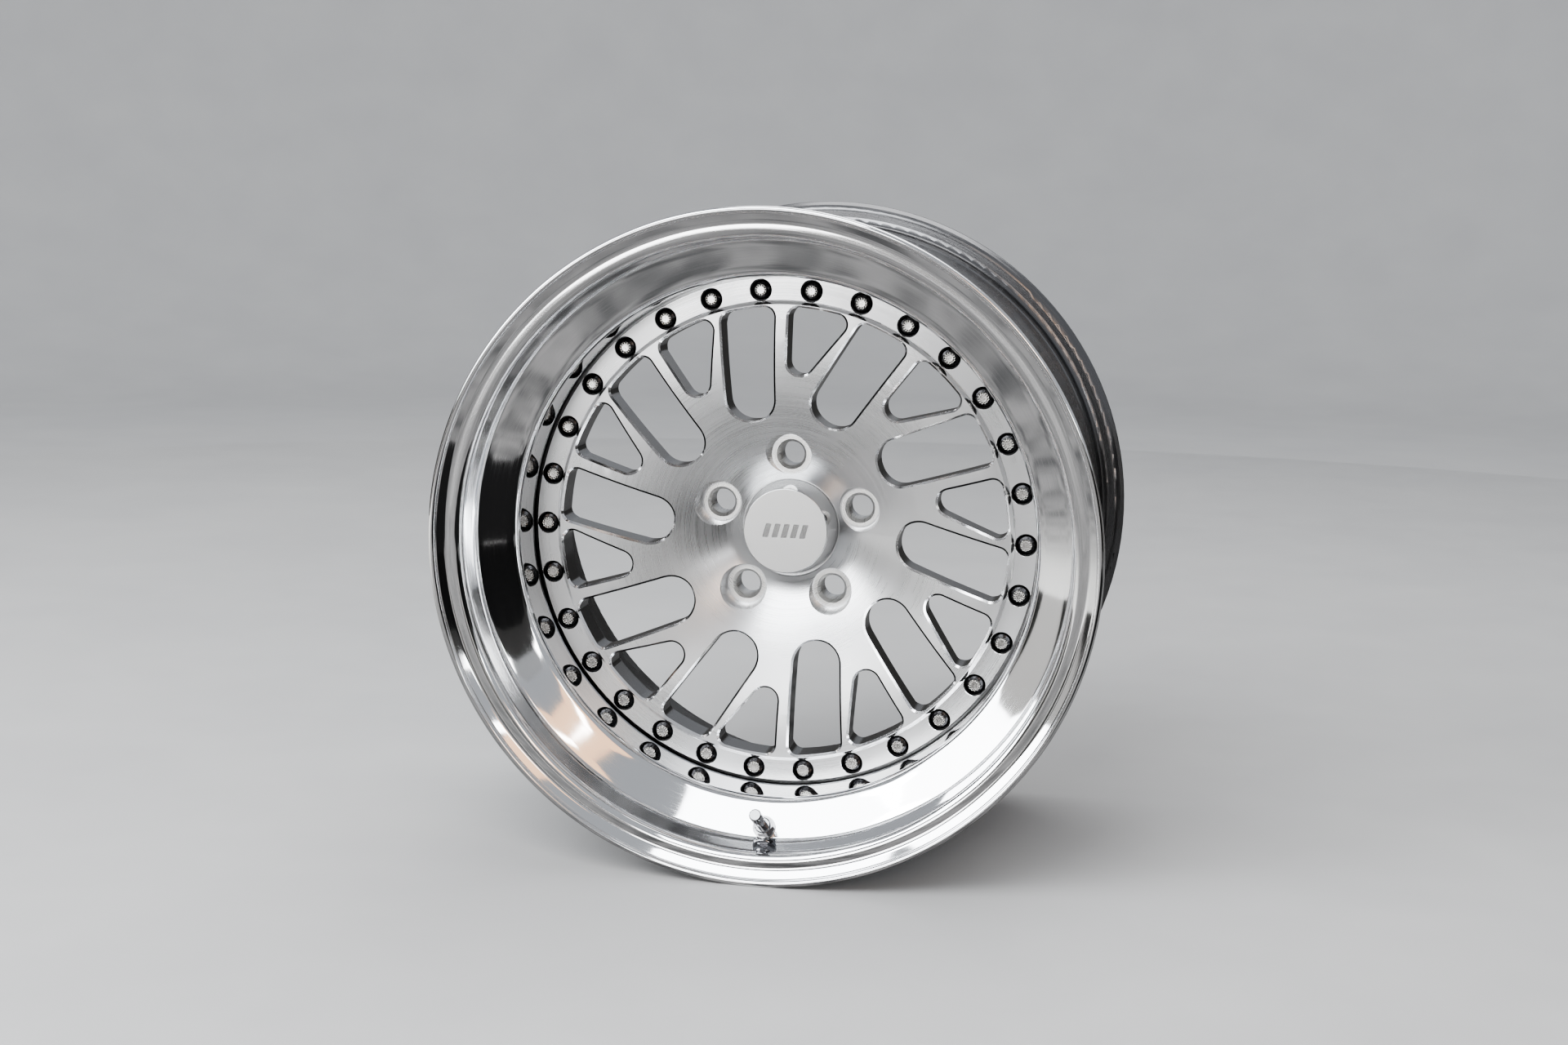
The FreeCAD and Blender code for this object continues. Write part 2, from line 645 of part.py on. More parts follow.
def valve_cap_seal():
    """The rubber washer inside the dust cap, which closes on the stem's mouth."""
    return tube(STEM_R + 0.02, 1.4, STEM_TOP + 0.02, STEM_TOP + 1.58)


VALVE_PIECES = {
    "valve_stem": valve_stem,
    "valve_grommet": valve_grommet,
    "valve_washer": valve_washer,
    "valve_nut": valve_nut,
    "valve_core_housing": valve_core_housing,
    "valve_core_gasket": valve_core_gasket,
    "valve_core_pin": valve_core_pin,
    "valve_core_seal": valve_core_seal,
    "valve_core_spring": valve_core_spring,
    "valve_cap": valve_cap,
    "valve_cap_seal": valve_cap_seal,
}

WHEEL_PIECES = {
    "centre_disc": centre_disc,
    "lug_seat_inserts": lug_seat_inserts,
    "outer_rim_lip": outer_rim_lip,
    "inner_rim_barrel": inner_rim_barrel,
    "rim_bolts": rim_bolts,
    "rim_nuts": rim_nuts,
    "nut_washers": nut_washers,
    "rim_seal_bead": rim_seal_bead,
    "centre_cap": centre_cap,
    "cap_o_ring": cap_o_ring,
}


def export(name, shape):
    """Writes one piece, or one group of equal pieces, as its own STEP file."""
    if isinstance(shape, list):
        shape = Part.makeCompound(shape)
    solids = shape.Solids
    result = solids[0] if len(solids) == 1 else Part.makeCompound(solids)
    result.exportStep("parts/" + name + ".step")
    print(name, len(solids), "solids, valid", result.isValid(), "volume", round(result.Volume, 1))


def main():
    os.makedirs("parts", exist_ok=True)
    for name, make in WHEEL_PIECES.items():
        export(name, make())
    for name, make in VALVE_PIECES.items():
        export(name, in_valve_place(make()))


main()
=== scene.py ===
# %% [markdown]
# # A forged three-piece racing wheel
#
# The wheel is made of a dished aluminium centre with twenty windows, a mirror-polished
# front lip and a darker rear barrel. Thirty small bolts hold the three together. In this
# lesson each metal gets its own finish, and the pieces whose shine shows every facet are
# rebuilt as smooth surfaces of revolution. Everything else keeps the shape it was
# designed with.

# %% Tools
import math

import bmesh
import bpy
import numpy as np
from mathutils import Matrix, Vector


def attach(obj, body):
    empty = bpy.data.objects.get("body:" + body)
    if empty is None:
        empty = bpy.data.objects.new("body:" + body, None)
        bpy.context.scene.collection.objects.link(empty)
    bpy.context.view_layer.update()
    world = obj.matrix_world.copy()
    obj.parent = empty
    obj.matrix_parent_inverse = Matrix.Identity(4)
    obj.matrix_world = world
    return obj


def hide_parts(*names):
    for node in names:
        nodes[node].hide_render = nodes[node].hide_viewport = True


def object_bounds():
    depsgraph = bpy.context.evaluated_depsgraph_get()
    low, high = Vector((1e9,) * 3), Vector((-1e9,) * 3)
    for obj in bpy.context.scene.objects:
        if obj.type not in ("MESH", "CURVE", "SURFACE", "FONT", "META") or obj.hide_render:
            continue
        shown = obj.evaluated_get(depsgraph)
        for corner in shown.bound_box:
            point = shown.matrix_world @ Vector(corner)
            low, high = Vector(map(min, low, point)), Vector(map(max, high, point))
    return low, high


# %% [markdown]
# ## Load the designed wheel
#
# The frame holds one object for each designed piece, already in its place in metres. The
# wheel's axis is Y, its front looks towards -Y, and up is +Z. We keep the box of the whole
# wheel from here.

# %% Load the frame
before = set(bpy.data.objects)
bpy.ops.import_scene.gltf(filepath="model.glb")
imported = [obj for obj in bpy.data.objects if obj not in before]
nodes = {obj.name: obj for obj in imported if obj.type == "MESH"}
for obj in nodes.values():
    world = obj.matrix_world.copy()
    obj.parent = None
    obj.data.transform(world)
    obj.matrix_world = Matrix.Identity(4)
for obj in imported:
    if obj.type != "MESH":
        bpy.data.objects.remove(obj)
designed_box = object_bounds()
low, high = (np.array(corner) for corner in designed_box)
print("pieces:", len(nodes), "size in mm:", np.round((high - low) * 1000, 1))

# %% [markdown]
# ## The camera
#
# The wheel is seen from a little to the right and slightly above, from about 1.7 m. A
# 50 mm lens keeps the circles close to true ellipses. The three directions below are the
# camera's own right, up and forward, so the camera is placed without any rotation angles.

# %% Camera
CAMERA_PLACE = Vector((0.31934, -1.67242, 0.27181))
CAMERA_RIGHT = Vector((0.98058, 0.19545, 0.01626))
CAMERA_UP = Vector((-0.04657, 0.15148, 0.98736))
CAMERA_FORWARD = Vector((-0.19052, 0.96894, -0.15764))

lens = bpy.data.cameras.new("camera")
lens.sensor_width = 36.0
lens.lens = 50.374
camera = bpy.data.objects.new("camera", lens)
turn = Matrix((CAMERA_RIGHT, CAMERA_UP, -CAMERA_FORWARD)).transposed().to_4x4()
camera.matrix_world = Matrix.Translation(CAMERA_PLACE) @ turn
bpy.context.scene.collection.objects.link(camera)
bpy.context.scene.camera = camera
print("camera is", round(CAMERA_PLACE.length, 3), "m from the hub")

# %% [markdown]
# ## From a grid of points to a mesh
#
# Every new surface in this lesson is a grid: one parameter runs along a profile, the other
# runs round the axis. `grid_mesh` takes the finished array of points and joins
# neighbours with four-sided faces. Working on whole arrays keeps the code short and fast.


# %% Grid to mesh
def grid_mesh(name, points, sharp_degrees=28.0):
    """A mesh from an array (rows, columns, 3) whose rows and columns both close on themselves.

    Face (i, j) joins the points (i, j), (i, j+1), (i+1, j+1) and (i+1, j), where each
    index wraps round at its end.
    """
    rows, columns, _ = points.shape
    i, j = np.meshgrid(np.arange(rows), np.arange(columns), indexing="ij")
    next_i, next_j = (i + 1) % rows, (j + 1) % columns
    corners = (i * columns + j, i * columns + next_j, next_i * columns + next_j, next_i * columns + j)
    faces = np.stack(corners, axis=-1).reshape(-1, 4)
    return mesh_from(name, points.reshape(-1, 3), faces, sharp_degrees)


def mesh_from(name, points, faces, sharp_degrees):
    """A smooth-shaded mesh from flat arrays of points and faces.

    Edges stay sharp where the surface bends more than sharp_degrees.
    """
    mesh = bpy.data.meshes.new(name)
    mesh.from_pydata(points.tolist(), [], faces.tolist())
    mesh.shade_smooth()
    mesh.set_sharp_from_angle(angle=math.radians(sharp_degrees))
    piece = bpy.data.objects.new(name, mesh)
    bpy.context.scene.collection.objects.link(piece)
    return piece


# %% [markdown]
# ## Profiles with rounded corners
#
# A turned part is easiest to think of as its cross-section. We list the corners of the
# cross-section as radius, depth from the front edge and corner rounding, all in
# millimetres, and `rounded_profile` replaces each corner with a small arc that is tangent
# to both of its sides.


# %% Rounded profile
def rounded_profile(corners, steps=7):
    """Points (radius, depth) along a closed outline whose corners (radius, depth, rounding) are arcs.

    Each arc starts and ends a distance t = rounding * tan(turn / 2) from its corner, and is
    drawn as the circle's points between the two tangent points.
    """
    place = np.array([(r, d) for r, d, _ in corners], float)
    rounding = np.array([size for _, _, size in corners], float)
    back = np.roll(place, 1, axis=0) - place
    ahead = np.roll(place, -1, axis=0) - place
    back /= np.linalg.norm(back, axis=1, keepdims=True)
    ahead /= np.linalg.norm(ahead, axis=1, keepdims=True)
    half_inside = np.arccos(np.clip((back * ahead).sum(axis=1), -1, 1)) / 2
    tangent = rounding / np.tan(half_inside)
    middle = back + ahead
    middle /= np.linalg.norm(middle, axis=1, keepdims=True)
    centre = place + middle * (rounding / np.sin(half_inside))[:, None]
    start = place + back * tangent[:, None] - centre
    end = place + ahead * tangent[:, None] - centre
    points = []
    for c, a, b, size in zip(centre, start, end, rounding):
        if size == 0:
            points.append(c[None, :])
            continue
        share = np.linspace(0, 1, steps)[:, None]
        blend = a * (1 - share) + b * share
        points.append(c + blend / np.linalg.norm(blend, axis=1, keepdims=True) * size)
    return np.concatenate(points)


def subdivided(profile, longest):
    """The same closed outline with extra points on every side longer than `longest`."""
    pieces = []
    for a, b in zip(profile, np.roll(profile, -1, axis=0)):
        count = max(1, math.ceil(np.linalg.norm(b - a) / longest))
        share = np.arange(count)[:, None] / count
        pieces.append(a * (1 - share) + b * share)
    return np.concatenate(pieces)


# %% [markdown]
# ## The front lip
#
# The lip is spun and machined from one forging, then polished like a mirror. A mirror
# shows every facet of a coarse mesh, so we turn its cross-section again with 480 steps
# round the axis. From the edge inwards the profile has a rounded bead with a fine groove,
# the hollow of the J flange, a step under the tyre's seat, a flat sloping band, and a
# soft roll into the wall that runs down to the centre.

# %% Lip
MM = 0.001
FRONT_Y = -0.152
REGISTER_R = 195.9
JOINT_DEPTH = 117.0
FLANGE_THICK = 5.5
AROUND_LIP = 480
LONGEST_STRIP = 6.0

lip_corners = [
    (REGISTER_R, JOINT_DEPTH, 0),
    (REGISTER_R, 97.6, 0.6),
    (196.6, 56.9, 9.5),
    (224.3, 41.3, 3.5),
    (226.6, 8.4, 6.5),
    (237.6, 8.0, 6.5),
    (242.9, 3.7, 0.5),
    (243.7, 3.4, 0.3),
    (243.7, 0.0, 2.3),
    (248.6, 0.0, 2.4),
    (248.6, 6.6, 1.5),
    (243.9, 12.3, 6.5),
    (231.0, 12.3, 6.0),
    (229.19, 33.0, 3.0),
    (230.39, 37.0, 2.5),
    (229.19, 41.0, 3.0),
    (229.2, 44.4, 4.0),
    (202.0, 59.6, 6.0),
    (201.5, 98.0, 0),
    (201.5, JOINT_DEPTH + FLANGE_THICK, 0),
    (176.0, JOINT_DEPTH + FLANGE_THICK, 0),
    (176.0, JOINT_DEPTH, 0),
]


def turned(name, corners, around):
    """A solid of revolution: point (r, d) of the profile goes to (r sin a, front + d, r cos a)."""
    profile = subdivided(rounded_profile(corners), LONGEST_STRIP) * MM
    angle = np.arange(around) * 2 * math.pi / around
    radius, depth = profile[:, 0][:, None], profile[:, 1][:, None]
    x = radius * np.sin(angle)
    y = np.broadcast_to(FRONT_Y + depth, x.shape)
    z = radius * np.cos(angle)
    return grid_mesh(name, np.stack((x, y, z), axis=-1))


lip = turned("polished_lip", lip_corners, AROUND_LIP)
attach(lip, "wheel")
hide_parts("outer_rim_lip")
print("lip faces:", len(lip.data.polygons))

# %% [markdown]
# ## Thirty small bolts
#
# The bolts have 12-point heads: two hexagons laid over each other, 30 degrees apart. Seen
# from the front the head is a pale disc with a ring of small dark dimples, and the flange
# under it is nearly black. A head this small still catches the eye because there are
# thirty of them, so each bolt is one closed grid from the middle of its head, over the
# flange and down the shank, to the end of the thread. Fitters never line bolts up, so
# every copy is turned a little further than the last.

# %% Bolts
BOLT_COUNT = 30
BOLT_CIRCLE_R = 185.5
BOLT_FIRST_ANGLE = 6.0
BOLT_SEAT_Y = -51.0
AROUND_BOLT = 84
DIMPLE_RING_R = 3.55
DIMPLE_R = 0.5
DIMPLE_DEPTH = 0.9
DIMPLED_ABOVE = 4.0
DIMPLE_EDGE = 1.25
TURN_FROM_BOLT_TO_BOLT = 2.4
SHARP_BOLT_DEGREES = 24.0

bolt_profile = np.array([
    # radius, height in front of the seat, share of the star shape
    (0.0, 4.50, 0), (1.2, 4.50, 0), (2.3, 4.50, 0), (2.70, 4.52, 0), (2.85, 4.7, 0), (3.05, 4.7, 0),
    (3.22, 4.7, 0), (3.38, 4.7, 0), (3.55, 4.7, 0), (3.72, 4.7, 0), (3.88, 4.7, 0), (4.05, 4.7, 0.2),
    (4.45, 4.66, 0.8), (4.70, 4.35, 1), (4.70, 2.50, 1), (4.95, 2.25, 0.6), (5.15, 2.15, 0),
    (7.25, 1.00, 0), (7.55, 0.80, 0), (7.60, 0.60, 0), (7.60, 0.0, 0), (3.95, 0.0, 0),
    (3.95, -37.1, 0), (3.45, -37.6, 0), (0.0, -37.6, 0),
])


def twelve_points(angle):
    """Radius of two crossed hexagons at an angle, as a share of their corner radius.

    A hexagon's side stands at cos(30 deg) of its corner radius, so at the angle t from the
    middle of a side its outline is cos(30 deg) / cos(t); the farther of the two hexagons shows.
    """
    sixty, thirty = math.pi / 3, math.pi / 6
    one = np.abs((angle + thirty) % sixty - thirty)
    other = np.abs(angle % sixty - thirty)
    return math.cos(thirty) / np.cos(np.maximum(one, other))


def bolt_points():
    """All bolts as an array (bolt, station, angle, 3) in metres.

    A point (r, h) of the profile, at the angle a round its bolt, goes r sin a across and
    r cos a up from the bolt's middle, and h in front of its seat. Near a dimple's middle
    h is less by the dimple's depth.
    """
    angle = np.arange(AROUND_BOLT) * 2 * math.pi / AROUND_BOLT
    radius, height, star = (bolt_profile[:, k][:, None] for k in range(3))
    radius = radius * (1 + star * (twelve_points(angle) - 1))
    from_dimple = (angle + math.pi / 12) % (math.pi / 6) - math.pi / 12
    away = np.hypot(radius * np.cos(from_dimple) - DIMPLE_RING_R, radius * np.sin(from_dimple))
    sunk = np.clip(DIMPLE_EDGE - away / DIMPLE_R, 0, 1) * (height > DIMPLED_ABOVE)
    height = height - sunk * DIMPLE_DEPTH
    bolt = np.arange(BOLT_COUNT)[:, None, None]
    place = np.radians(BOLT_FIRST_ANGLE + bolt * 360 / BOLT_COUNT)
    turned_angle = angle + bolt * TURN_FROM_BOLT_TO_BOLT
    x = BOLT_CIRCLE_R * np.sin(place) + radius * np.sin(turned_angle)
    z = BOLT_CIRCLE_R * np.cos(place) + radius * np.cos(turned_angle)
    y = np.broadcast_to(BOLT_SEAT_Y - height, x.shape)
    return np.stack((x, y, z), axis=-1) * MM


def strip_faces(rows, columns, copies):
    """Faces of several equal grids that are open along their rows and closed round their columns."""
    i, j = np.meshgrid(np.arange(rows - 1), np.arange(columns), indexing="ij")
    next_j = (j + 1) % columns
    corners = (i * columns + j, i * columns + next_j, (i + 1) * columns + next_j, (i + 1) * columns + j)
    one = np.stack(corners, axis=-1).reshape(-1, 4)
    return (np.arange(copies)[:, None, None] * rows * columns + one).reshape(-1, 4)


def close_poles(piece):
    """Merges the points that meet on an axis, which turns the last faces there into triangles."""
    work = bmesh.new()
    work.from_mesh(piece.data)
    bmesh.ops.remove_doubles(work, verts=work.verts, dist=1e-6)
    work.to_mesh(piece.data)
    work.free()


bolts = mesh_from(
    "flange_bolts", bolt_points().reshape(-1, 3),
    strip_faces(len(bolt_profile), AROUND_BOLT, BOLT_COUNT), SHARP_BOLT_DEGREES)
close_poles(bolts)
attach(bolts, "wheel")
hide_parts("rim_bolts")
print("bolt faces:", len(bolts.data.polygons))

# %% [markdown]
# ## A small kit for materials
#
# Each finish is one Principled shader. What changes over the surface, such as the fine
# rings left by a lathe, comes from noise in the object's own coordinates, and what is the
# same everywhere is set straight on the shader. `add` makes a node and fills its inputs:
# a socket is linked, and anything else becomes a constant.


# %% Node helpers
def finish(name, colour, metallic, roughness):
    """A new material and its Principled shader."""
    material = bpy.data.materials.new(name)
    material.use_nodes = True
    shader = material.node_tree.nodes["Principled BSDF"]
    shader.inputs["Base Color"].default_value = (*colour, 1)
    shader.inputs["Metallic"].default_value = metallic
    shader.inputs["Roughness"].default_value = roughness
    return material, shader


def add(material, kind, inputs=(), **settings):
    """A node of this kind; inputs are (socket name or number, value or socket to link)."""
    tree = material.node_tree
    node = tree.nodes.new("ShaderNode" + kind)
    for key, value in settings.items():
        setattr(node, key, value)
    for key, value in inputs:
        if isinstance(value, bpy.types.NodeSocket):
            tree.links.new(value, node.inputs[key])
        else:
            node.inputs[key].default_value = value
    return node


def maths(material, operation, *values):
    """The output of one Math node."""
    return add(material, "Math", list(enumerate(values)), operation=operation).outputs[0]


def remap(material, value, from_low, from_high, to_low, to_high):
    """A value carried smoothly from one range to another, and held at its ends."""
    pairs = list(enumerate((value, from_low, from_high, to_low, to_high)))
    return add(material, "MapRange", pairs, interpolation_type="SMOOTHSTEP").outputs[0]


def mix_values(material, share, first, second):
    """The first value where share is 0 and the second where it is 1."""
    pairs = [(0, share), (2, first), (3, second)]
    return add(material, "Mix", pairs, data_type="FLOAT").outputs[0]


def mix_colours(material, share, first, second):
    """The same for two colours, each a socket or (red, green, blue)."""
    first, second = ((*c, 1) if isinstance(c, tuple) else c for c in (first, second))
    pairs = [(0, share), (6, first), (7, second)]
    return add(material, "Mix", pairs, data_type="RGBA").outputs[2]


def between(material, value, lowest, highest, soft):
    """1 where a value lies between two limits and 0 outside them, with soft ends."""
    above = remap(material, value, lowest - soft, lowest + soft, 0.0, 1.0)
    below = remap(material, value, highest - soft, highest + soft, 1.0, 0.0)
    return maths(material, "MULTIPLY", above, below)


def facing_front(material):
    """1 where the surface looks straight to the wheel's front, 0 sideways, -1 to the back."""
    normal = add(material, "TexCoord").outputs["Normal"]
    along_axis = add(material, "SeparateXYZ", [(0, normal)]).outputs[1]
    return maths(material, "MULTIPLY", along_axis, -1.0)


def place_on_wheel(material):
    """(x, y, z, distance from the wheel's axis) as sockets."""
    position = add(material, "TexCoord").outputs["Object"]
    x, y, z = add(material, "SeparateXYZ", [(0, position)]).outputs
    radius = maths(material, "SQRT", maths(
        material, "ADD", maths(material, "MULTIPLY", x, x), maths(material, "MULTIPLY", z, z)))
    return x, y, z, radius


def lathe_rings(material, per_metre, drift=28.0):
    """Noise that changes fast with the radius and slowly along the turning, between 0 and 1."""
    x, _, z, radius = place_on_wheel(material)
    vector = add(material, "CombineXYZ", [
        (0, maths(material, "MULTIPLY", radius, per_metre)),
        (1, maths(material, "MULTIPLY", x, drift)),
        (2, maths(material, "MULTIPLY", z, drift))]).outputs[0]
    return add(material, "TexNoise", [("Vector", vector), ("Scale", 1.0), ("Detail", 3.0)]).outputs[0]


def cloudy(material, scale, detail=2.0):
    """Soft noise between 0 and 1 with features about 1/scale metres across."""
    position = add(material, "TexCoord").outputs["Object"]
    pairs = [("Vector", position), ("Scale", scale), ("Detail", detail)]
    return add(material, "TexNoise", pairs).outputs[0]


def bump(material, shader, height, strength, distance):
    """Lets a height between 0 and 1 tilt the surface."""
    pairs = [("Height", height), ("Strength", strength), ("Distance", distance)]
    node = add(material, "Bump", pairs)
    material.node_tree.links.new(node.outputs[0], shader.inputs["Normal"])


def drive(material, shader, name, value):
    """Links a socket to one of the shader's inputs."""
    material.node_tree.links.new(value, shader.inputs[name])


def coat(piece, material):
    """Puts one material in every slot of a piece."""
    if not piece.data.materials:
        piece.data.materials.append(material)
    for index in range(len(piece.data.materials)):
        piece.data.materials[index] = material


# %% [markdown]
# ## Turned aluminium for the centre
#
# The centre is cut on a lathe and left with its fine grooves, which run round the axis.
# Grooves spread a reflection across themselves, so light fans out from the hub like the
# highlight on a record. The shader's anisotropy does that: the tangent runs round the Y
# axis, and a quarter turn stretches the highlight across the grooves. The windows'
# chamfers are cut last with a fresh tool and shine more. Their walls are milled, and their
# colour is darkened with painted shade. Both are picked out by the way that they face. The
# small recesses for the bolts are painted nearly black, as painted shade.

# %% Turned disc
CHAMFER_FACING = 0.86
WALL_FACING = 0.35
HUB_AREA_R = 0.080
RECESS_INNER_R, RECESS_OUTER_R = 0.1772, 0.1942
RECESS_TOP_Y, RECESS_FLOOR_Y = -0.0546, -0.0500
TURNED_COLOUR = (0.80, 0.805, 0.815)
CHAMFER_COLOUR = (0.95, 0.95, 0.955)
# Dark colour for the window walls and other sideways faces: painted shade.
WALL_SHADE_COLOUR = (0.24, 0.24, 0.245)
# Near black for the bolt recesses: painted shade.
RECESS_SHADE_COLOUR = (0.05, 0.05, 0.052)


def turned_aluminium():
    material, shader = finish("turned_disc", TURNED_COLOUR, 1.0, 0.3)
    shader.inputs["Anisotropic"].default_value = 0.72
    shader.inputs["Anisotropic Rotation"].default_value = 0.25
    tangent = add(material, "Tangent", direction_type="RADIAL", axis="Y")
    drive(material, shader, "Tangent", tangent.outputs[0])
    rings = lathe_rings(material, 2600.0, 7.0)
    smudges = cloudy(material, 14.0, 3.0)
    _, y, _, radius = place_on_wheel(material)
    facing = facing_front(material)

    on_face = remap(material, facing, CHAMFER_FACING - 0.04, CHAMFER_FACING + 0.02, 0.0, 1.0)
    off_centre = remap(material, radius, HUB_AREA_R - 0.002, HUB_AREA_R + 0.002, 0.0, 1.0)
    cut_edge = maths(material, "MULTIPLY", maths(material, "SUBTRACT", 1.0, on_face), off_centre)
    # Painted shade on the walls: faces that look sideways are darkened.
    sideways = between(material, facing, -WALL_FACING, WALL_FACING, 0.08)
    wall = maths(material, "MULTIPLY", sideways, off_centre)
    # Painted shade: the floor and walls of each bolt recess are made nearly black.
    painted_recess_shade = maths(
        material, "MULTIPLY", between(material, y, RECESS_TOP_Y, RECESS_FLOOR_Y, 0.0001),
        between(material, radius, RECESS_INNER_R, RECESS_OUTER_R, 0.0001))

    turned_roughness = maths(
        material, "ADD", remap(material, rings, 0.3, 0.7, 0.25, 0.32),
        remap(material, smudges, 0.35, 0.7, 0.0, 0.05))
    drive(material, shader, "Roughness", mix_values(material, cut_edge, turned_roughness, 0.13))
    fresh = mix_colours(material, cut_edge, TURNED_COLOUR, CHAMFER_COLOUR)
    with_wall_shade = mix_colours(material, wall, fresh, WALL_SHADE_COLOUR)
    drive(material, shader, "Base Color", mix_colours(material, painted_recess_shade, with_wall_shade, RECESS_SHADE_COLOUR))
    bump(material, shader, rings, 0.10, 0.00006)
    return material


coat(nodes["centre_disc"], turned_aluminium())

# %% [markdown]
# ## Mirror polish for the lip
#
# Polishing never leaves a perfect plane. Very shallow waves from the wheel of the
# polishing machine bend long reflections, and a haze of hair-fine lines round the axis
# softens them. Both are tiny, because a stronger bump would look like hammered metal.

# %% Polished lip
def mirror_polish():
    """Nearly flat mirror with shallow waves and hair-fine rings."""
    material, shader = finish("polished_lip", (0.87, 0.875, 0.885), 1.0, 0.05)
    lines = lathe_rings(material, 2600.0, 12.0)
    waves = cloudy(material, 16.0, 1.0)
    drive(material, shader, "Roughness", remap(material, lines, 0.3, 0.75, 0.035, 0.085))
    height = maths(material, "ADD", waves, maths(material, "MULTIPLY", lines, 0.02))
    bump(material, shader, height, 0.35, 0.0006)
    return material


coat(lip, mirror_polish())

# %% [markdown]
# ## Bolts, seats, cap and barrel
#
# Chrome covers the bolts. The flange lies deep in its recess, so painted shade makes its
# plating nearly black below the head. The seats are machined steel. The cap's face is
# blasted to a fine satin, its side is polished, and the bars cut into it are smoother and
# darker. The barrel is a dark grey with faint rings, and the valve is dark chrome.

# %% Small metals
HEAD_TOP_Y = -0.0557


def bolt_plating():
    """Mottled chrome on top, with painted shade making it nearly black below the head."""
    material, shader = finish("bolt_chrome", (0.8, 0.8, 0.79), 1.0, 0.2)
    y = place_on_wheel(material)[1]
    # Painted shade: everything below the top of the head is made nearly black.
    painted_flange_shade = remap(material, y, HEAD_TOP_Y + 0.0003, HEAD_TOP_Y + 0.0007, 0.0, 1.0)
    mottle = cloudy(material, 900.0, 2.0)
    pale = mix_colours(material, mottle, (0.42, 0.41, 0.39), (0.78, 0.77, 0.75))
    drive(material, shader, "Base Color", mix_colours(material, painted_flange_shade, pale, (0.05, 0.05, 0.052)))
    drive(material, shader, "Roughness", remap(material, mottle, 0.3, 0.7, 0.16, 0.30))
    bump(material, shader, mottle, 0.25, 0.00006)
    return material


def machined(name, colour, rough_low, rough_high, per_metre=2200.0, strength=0.15):
    """Metal with fine rings round the wheel's axis, between two roughnesses."""
    material, shader = finish(name, colour, 1.0, rough_high)
    rings = lathe_rings(material, per_metre)
    drive(material, shader, "Roughness", remap(material, rings, 0.3, 0.7, rough_low, rough_high))
    bump(material, shader, rings, strength, 0.00006)
    return material


def grained(name, colour, metallic, rough_low, rough_high, scale, strength):
    """A finish with a fine even grain, for satin metal, plated parts and rubber."""
    material, shader = finish(name, colour, metallic, rough_high)
    grain = cloudy(material, scale, 3.0)
    drive(material, shader, "Roughness", remap(material, grain, 0.3, 0.7, rough_low, rough_high))
    bump(material, shader, grain, strength, 0.00008)
    return material


CAP_FACE_Y = -0.0426
MARK_DEPTH = 0.0005
CAP_FACE_COLOUR = (0.74, 0.74, 0.735)
CAP_SIDE_COLOUR = (0.52, 0.525, 0.53)
CAP_MARK_COLOUR = (0.50, 0.50, 0.50)


def satin_cap():
    """Satin on the face, polish on the side, and a smoother dark floor in the cut bars."""
    material, shader = finish("cap_satin", CAP_FACE_COLOUR, 1.0, 0.36)
    y = place_on_wheel(material)[1]
    grain = cloudy(material, 2600.0, 2.0)
    on_face = remap(material, facing_front(material), 0.93, 0.98, 0.0, 1.0)
    marked = maths(material, "MULTIPLY", on_face, remap(
        material, y, CAP_FACE_Y + MARK_DEPTH * 0.3, CAP_FACE_Y + MARK_DEPTH * 0.7, 0.0, 1.0))
    satin = remap(material, grain, 0.3, 0.7, 0.32, 0.42)
    face_roughness = mix_values(material, marked, satin, 0.17)
    drive(material, shader, "Roughness", mix_values(material, on_face, 0.09, face_roughness))
    colour = mix_colours(material, on_face, CAP_SIDE_COLOUR, CAP_FACE_COLOUR)
    drive(material, shader, "Base Color", mix_colours(material, marked, colour, CAP_MARK_COLOUR))
    bump(material, shader, maths(material, "MULTIPLY", grain, on_face), 0.3, 0.00005)
    return material


coat(bolts, bolt_plating())
coat(nodes["lug_seat_inserts"], machined("seat_steel", (0.86, 0.855, 0.84), 0.26, 0.40))
coat(nodes["centre_cap"], satin_cap())
coat(nodes["inner_rim_barrel"], machined("barrel", (0.21, 0.21, 0.215), 0.20, 0.32, 900.0))
nut_steel = grained("nut_steel", (0.60, 0.61, 0.62), 1.0, 0.24, 0.38, 900.0, 0.2)
coat(nodes["rim_nuts"], nut_steel)
coat(nodes["nut_washers"], nut_steel)
coat(nodes["rim_seal_bead"], grained("sealant", (0.55, 0.55, 0.54), 0.0, 0.35, 0.5, 300.0, 0.4))
rubber = grained("seal_rubber", (0.018, 0.018, 0.02), 0.0, 0.45, 0.65, 1500.0, 0.3)
for name in ("cap_o_ring", "valve_grommet", "valve_core_gasket", "valve_core_seal", "valve_cap_seal"):
    coat(nodes[name], rubber)
chrome = grained("valve_chrome", (0.30, 0.30, 0.31), 1.0, 0.06, 0.14, 700.0, 0.08)
for name in ("valve_stem", "valve_washer", "valve_nut", "valve_cap"):
    coat(nodes[name], chrome)
brass = grained("core_brass", (0.72, 0.52, 0.24), 1.0, 0.2, 0.32, 900.0, 0.15)
for name in ("valve_core_housing", "valve_core_pin"):
    coat(nodes[name], brass)
coat(nodes["valve_core_spring"], grained("spring_steel", (0.5, 0.5, 0.51), 1.0, 0.25, 0.35, 900.0, 0.1))
print("materials:", sorted(m.name for m in bpy.data.materials if m.users))

